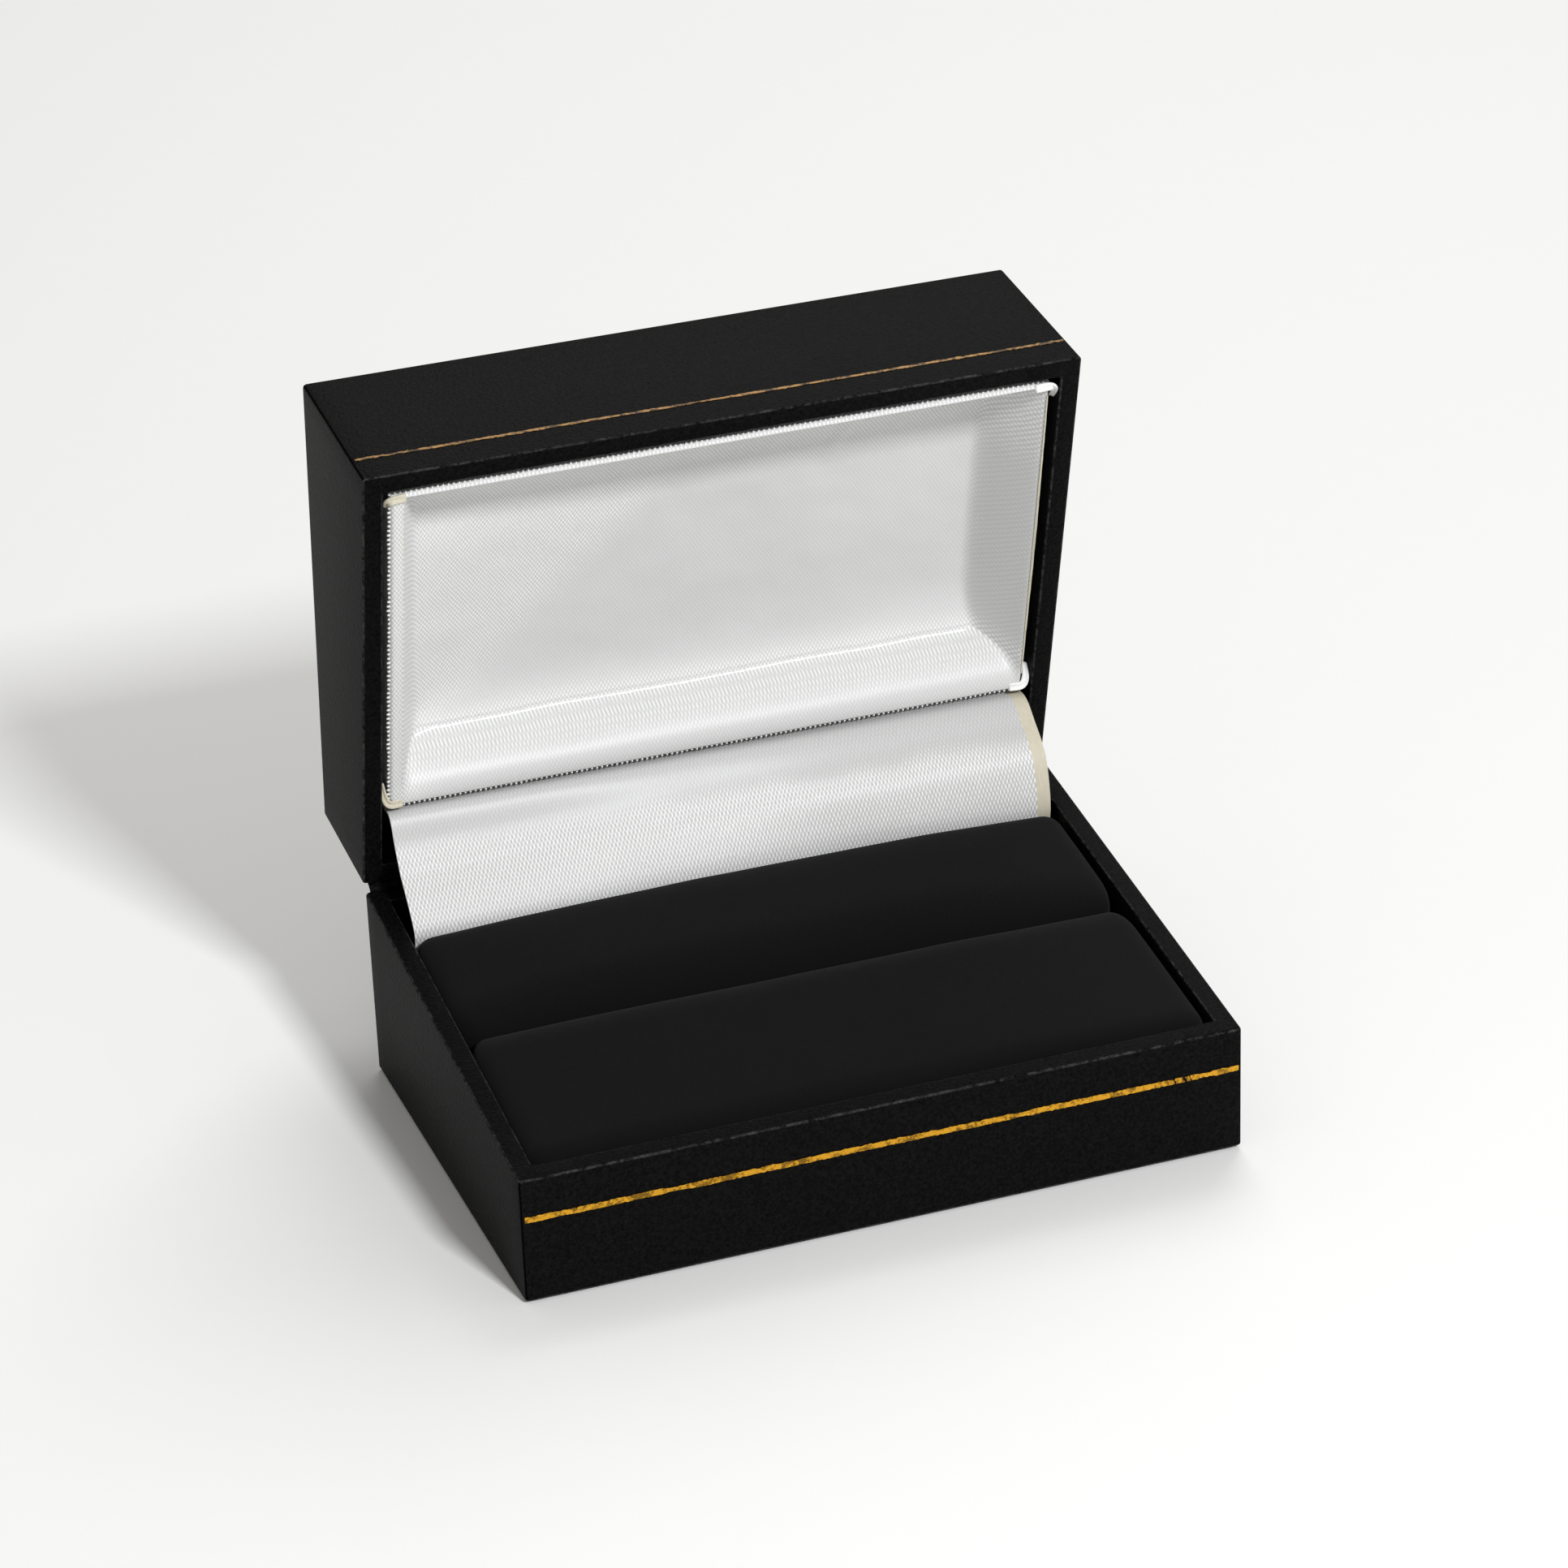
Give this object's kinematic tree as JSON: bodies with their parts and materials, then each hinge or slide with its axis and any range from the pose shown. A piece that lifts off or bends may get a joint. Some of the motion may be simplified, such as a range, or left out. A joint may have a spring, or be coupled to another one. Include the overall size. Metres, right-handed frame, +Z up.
{
  "type": "jewelry box",
  "caption": "Small hinged ring and cuff-link box with a leatherette covering, a satin-lined lid and a slotted velvet pad, shown open.",
  "frame": {"origin": "centre of the base's flat underside, on the surface the box stands on", "axes": "+X to the box's right along the hinge, +Y to the rear, +Z up; the lid is stored standing open"},
  "size_m": [0.076, 0.0662, 0.0739],
  "materials": {
    "leatherette": "fine-grained matte",
    "shell": "moulded",
    "paper": "matte paper",
    "gold_foil": "worn hot foil",
    "hinge_steel": "pressed",
    "card": "grey card",
    "satin": "satin weave",
    "wadding": "loose fibre",
    "velvet": "short pile",
    "foam": "open-cell foam"
  },
  "bodies": {
    "base": {"base_shell": "shell", "base_wrap": "leatherette", "base_bottom_sheet": "paper", "base_gold_line": "gold_foil", "pad_card": "card", "pad_foam_front": "foam", "pad_foam_rear": "foam", "pad_velvet_front": "velvet", "pad_velvet_rear": "velvet", "hinge_leaf_base": "hinge_steel", "hinge_pin": "hinge_steel", "base_rivet_left": "hinge_steel", "base_rivet_right": "hinge_steel", "hinge_spring": "hinge_steel", "satin_ribbon": "satin"},
    "lid": {"lid_shell": "shell", "lid_wrap": "leatherette", "lid_gold_line": "gold_foil", "hinge_leaf_lid": "hinge_steel", "lid_rivet_left": "hinge_steel", "lid_rivet_right": "hinge_steel", "lid_liner_card": "card", "lid_liner_wadding": "wadding", "lid_liner_satin": "satin"}
  },
  "joints": [
    {"name": "lid_hinge", "type": "hinge", "parent": "base", "child": "lid", "pos_m": [0, 0.0261, 0.02095], "axis": [1, 0, 0], "range_deg": [0, 84], "deforming": ["hinge_spring", "satin_ribbon"]}
  ]
}
